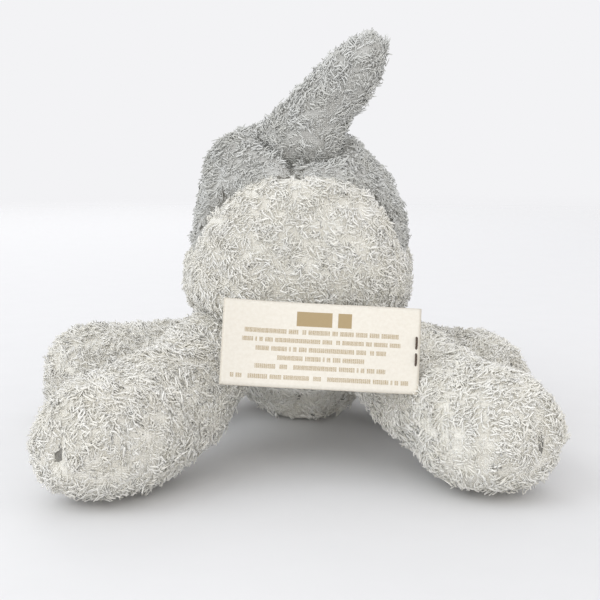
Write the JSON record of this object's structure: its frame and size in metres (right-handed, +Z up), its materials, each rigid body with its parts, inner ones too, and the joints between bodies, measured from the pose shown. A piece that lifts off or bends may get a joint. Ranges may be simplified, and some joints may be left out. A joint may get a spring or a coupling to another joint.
{
  "type": "plush dog",
  "caption": "Sprawling plush dog of curly pile fabric, with swinging legs, a turning and nodding head, flapping ears, a wagging tail and a sewn-on care label.",
  "frame": {"origin": "on the ground, in the middle of the flat patch of belly that the dog rests on", "axes": "+Z up; -Y the way the dog faces; +X the dog's left side"},
  "size_m": [0.1873, 0.2511, 0.1462],
  "materials": {
    "grey_pile": "matte",
    "pale_pile": "matte",
    "fibre": "matte",
    "bag_cloth": "matte",
    "black_plastic": "gloss",
    "washer_plastic": "satin",
    "satin": "satin",
    "brown_thread": "matte",
    "grey_thread": "matte"
  },
  "bodies": {
    "trunk": {"seat_panel": "pale_pile", "belly_panel": "pale_pile", "back_panel_left": "grey_pile", "back_panel_right": "grey_pile", "bead_bag": "bag_cloth", "trunk_stuffing": "fibre", "closing_thread": "grey_thread"},
    "neck": {"neck_stuffing": "fibre"},
    "head": {"head_panel_left": "grey_pile", "head_gusset": "grey_pile", "head_panel_right": "grey_pile", "chin_panel": "pale_pile", "muzzle_panel_left": "pale_pile", "muzzle_panel_right": "pale_pile", "head_stuffing": "fibre", "eye_left": "black_plastic", "eye_left_washer": "washer_plastic", "eye_right": "black_plastic", "eye_right_washer": "washer_plastic", "nose": "black_plastic", "nose_washer": "washer_plastic"},
    "ear_left": {"ear_left_lining": "pale_pile", "ear_left_outer": "grey_pile"},
    "ear_right": {"ear_right_lining": "pale_pile", "ear_right_outer": "grey_pile"},
    "tail": {"tail_panel_left": "grey_pile", "tail_panel_right": "grey_pile", "tail_stuffing": "fibre"},
    "label": {"care_label": "satin", "label_stitch_upper": "brown_thread", "label_stitch_lower": "brown_thread"},
    "hind_leg_left": {"hind_leg_left_upper": "pale_pile", "hind_leg_left_lower": "pale_pile", "hind_leg_left_stuffing": "fibre", "hind_leg_left_toe_thread": "grey_thread"},
    "hind_leg_right": {"hind_leg_right_upper": "pale_pile", "hind_leg_right_lower": "pale_pile", "hind_leg_right_stuffing": "fibre", "hind_leg_right_toe_thread": "grey_thread"},
    "front_leg_left": {"front_leg_left_upper": "pale_pile", "front_leg_left_lower": "pale_pile", "front_leg_left_stuffing": "fibre", "front_leg_left_toe_thread": "grey_thread"},
    "front_leg_right": {"front_leg_right_upper": "pale_pile", "front_leg_right_lower": "pale_pile", "front_leg_right_stuffing": "fibre", "front_leg_right_toe_thread": "grey_thread"}
  },
  "joints": [
    {"name": "hind_leg_left_swing", "type": "hinge", "parent": "trunk", "child": "hind_leg_left", "pos_m": [0.0285, 0.074, 0.036], "axis": [0, 0, 1], "range_deg": [-45, 6]},
    {"name": "hind_leg_right_swing", "type": "hinge", "parent": "trunk", "child": "hind_leg_right", "pos_m": [-0.0285, 0.074, 0.036], "axis": [0, 0, 1], "range_deg": [-3, 24]},
    {"name": "front_leg_left_swing", "type": "hinge", "parent": "trunk", "child": "front_leg_left", "pos_m": [0.033, 0.014, 0.024], "axis": [0, 0, 1], "range_deg": [-60, 10]},
    {"name": "front_leg_right_swing", "type": "hinge", "parent": "trunk", "child": "front_leg_right", "pos_m": [-0.033, 0.014, 0.024], "axis": [0, 0, 1], "range_deg": [0, 80]},
    {"name": "head_turn", "type": "hinge", "parent": "trunk", "child": "neck", "pos_m": [0, -0.058, 0.044], "axis": [0, 0, 1], "range_deg": [-25, 25]},
    {"name": "head_nod", "type": "hinge", "parent": "neck", "child": "head", "pos_m": [0, -0.058, 0.044], "axis": [1, 0, 0], "range_deg": [-20, 12]},
    {"name": "ear_left_flap", "type": "hinge", "parent": "head", "child": "ear_left", "pos_m": [0.03261, -0.058, 0.06615], "axis": [0, -1, 0], "range_deg": [0, 75]},
    {"name": "ear_right_flap", "type": "hinge", "parent": "head", "child": "ear_right", "pos_m": [-0.03261, -0.058, 0.06615], "axis": [0, 1, 0], "range_deg": [0, 75]},
    {"name": "tail_wag", "type": "hinge", "parent": "trunk", "child": "tail", "pos_m": [-0.002, 0.065, 0.108], "axis": [0, 1, 0], "range_deg": [-6, 60]},
    {"name": "label_lift", "type": "hinge", "parent": "hind_leg_right", "child": "label", "pos_m": [-0.03755, 0.10924, 0.04319], "axis": [-0.0506, -0.2588, 0.9646], "range_deg": [-5, 80]}
  ]
}
